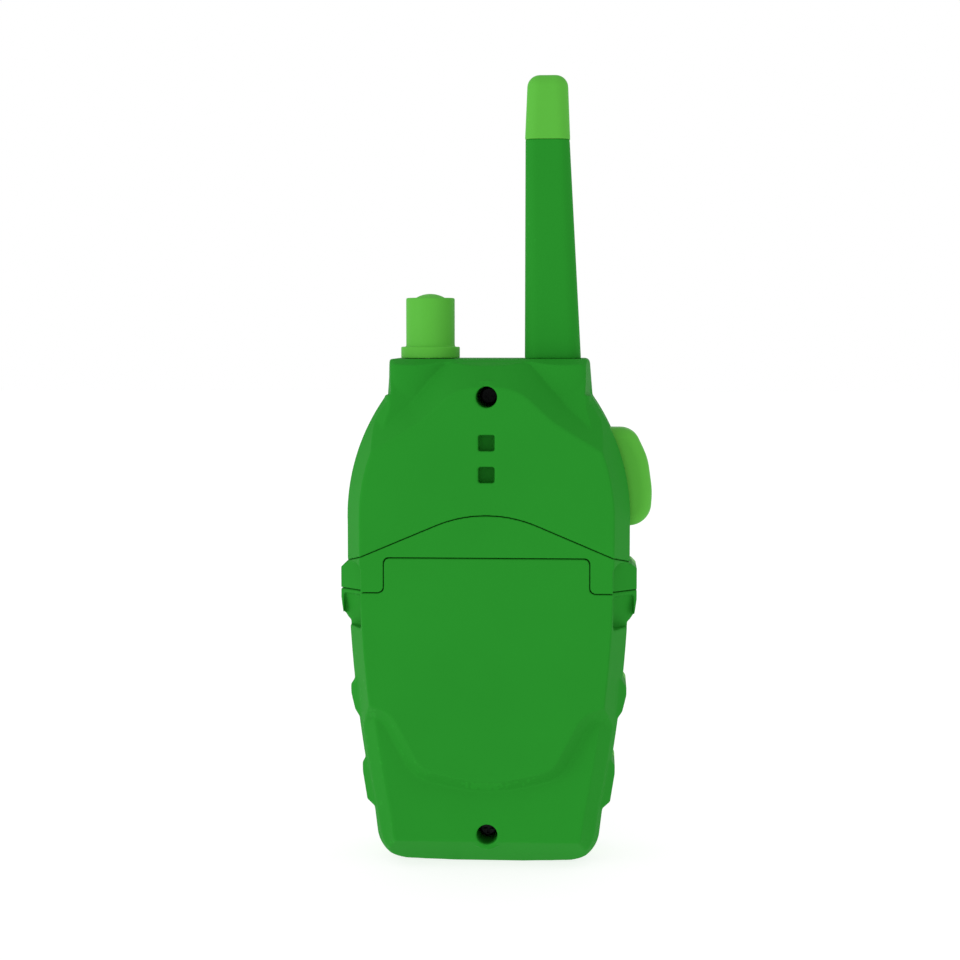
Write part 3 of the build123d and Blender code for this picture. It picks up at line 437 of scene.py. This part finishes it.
def coil_springs(material):
    """Conical wire springs for the cells' flat ends, in place of the plain rings."""
    low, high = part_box("contact_springs")
    wire = SPRING_WIRE * MM
    curve = bpy.data.curves.new("spring_wire", "CURVE")
    curve.dimensions = "3D"
    curve.bevel_depth = wire
    curve.bevel_resolution = 3
    count = int(SPRING_TURNS * SPRING_STEPS)
    for cell in ("cell_1", "cell_2", "cell_3"):
        cell_low, cell_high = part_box(cell)
        middle_x = (cell_low[0] + cell_high[0]) / 2
        middle_y = (cell_low[1] + cell_high[1]) / 2
        spline = curve.splines.new("NURBS")
        spline.points.add(count)
        for index, point in enumerate(spline.points):
            share = index / count
            angle = math.tau * SPRING_TURNS * share
            radius = (SPRING_FOOT - SPRING_TAPER * share) * MM
            rise = low[2] + wire + (high[2] - low[2] - 2 * wire) * share
            point.co = (middle_x + radius * math.cos(angle), middle_y + radius * math.sin(angle), rise, 1.0)
        spline.order_u = 3
        spline.use_endpoint_u = True
    springs = bpy.data.objects.new("coil_springs", curve)
    bpy.context.scene.collection.objects.link(springs)
    curve.materials.append(material)
    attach(springs, "housing")
    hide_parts("contact_springs")


def raised_outline(name, outlines, place, height_mm, material, body):
    """Flat raised shapes on a face that looks towards +Y, with a small chamfer round their tops."""
    center_x, face_y, center_z = place
    mesh = bpy.data.meshes.new(name)
    work = bmesh.new()
    levels = ((-MARK_SINK, 1.0), (height_mm * CHAMFER_START, 1.0), (height_mm, CHAMFER_SHRINK))
    for outline in outlines:
        middle = Vector((sum(x for x, _ in outline), sum(z for _, z in outline))) / len(outline)
        rings = []
        for rise, shrink in levels:
            y = face_y + rise * MM
            ring = []
            for x, z in outline:
                point = middle + (Vector((x, z)) - middle) * shrink
                ring.append(work.verts.new((center_x + point.x * MM, y, center_z + point.y * MM)))
            rings.append(ring)
        for lower, upper in zip(rings, rings[1:]):
            for index in range(len(lower)):
                after = (index + 1) % len(lower)
                work.faces.new((lower[index], lower[after], upper[after], upper[index]))
        work.faces.new(rings[0])
        work.faces.new(rings[-1])
    bmesh.ops.recalc_face_normals(work, faces=work.faces)
    work.to_mesh(mesh)
    work.free()
    return add_piece(name, mesh, material, body)


def circle(radius, center=(0.0, 0.0), steps=24):
    x, z = center
    angles = [math.tau * i / steps for i in range(steps)]
    return [(x + radius * math.cos(angle), z + radius * math.sin(angle)) for angle in angles]


def bar(width, height, center=(0.0, 0.0)):
    x, z = center
    return [
        (x - width / 2, z - height / 2), (x + width / 2, z - height / 2),
        (x + width / 2, z + height / 2), (x - width / 2, z + height / 2),
    ]


def key_marks(material):
    """Plain symbols on the key tops: arrows, bars, a dot, and a dot with rays."""
    rays = [circle(0.22, center, 10) for center in circle(1.35, steps=8)]
    symbols = {
        "key_up": [[(-1.3, -0.75), (1.3, -0.75), (0.0, 1.2)]],
        "key_down": [[(-1.3, 0.75), (0.0, -1.2), (1.3, 0.75)]],
        "key_menu": [bar(2.4, 0.42, (0, z)) for z in (-0.85, 0.0, 0.85)],
        "key_call": [circle(1.0)],
        "key_light": [circle(0.7)] + rays,
    }
    for key, outlines in symbols.items():
        low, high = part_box(key)
        place = ((low[0] + high[0]) / 2, high[1], (low[2] + high[2]) / 2)
        raised_outline(f"{key}_mark", outlines, place, 0.08, material, key)


def display_marks(material):
    """Dark segments behind the lens: a rising signal gauge and a battery outline with three bars."""
    low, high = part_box("display_module")
    center = ((low[0] + high[0]) / 2, high[1], (low[2] + high[2]) / 2)
    signal = [bar(1.2, 1.6 + 1.5 * i, (9.4 - 2.0 * i, -3.0 + 0.75 * i)) for i in range(4)]
    frame_bars = [bar(9.0, 0.5, (-5.4, z)) for z in (-3.6, 0.6)]
    frame_bars += [bar(0.5, 4.7, (x, -1.5)) for x in (-9.9, -0.9)]
    cells = [bar(1.9, 2.6, (-8.1 + 2.7 * i, -1.5)) for i in range(3)]
    segments = signal + frame_bars + cells
    raised_outline("display_marks", segments, center, 0.06, material, "housing")


# ---------------------------------------------------------------- the scene

add_camera()
add_world(WORLD_LIGHT)
add_floor(FLOOR_HALF, FLOOR_TONE, FLOOR_GLOW)
add_area_light("key", KEY_PLACE, KEY_TARGET, KEY_SIZE, KEY_WATTS)

MATERIALS = make_materials()
dress_cad_nodes(MATERIALS)
for name, (voxel_mm, passes) in SOFTENING.items():
    soften(frame["nodes"][name], voxel_mm, passes)
coil_springs(MATERIALS["steel"])
key_marks(MATERIALS["shell_green"])
display_marks(MATERIALS["black_plastic"])

bpy.context.scene.view_settings.view_transform = "Standard"
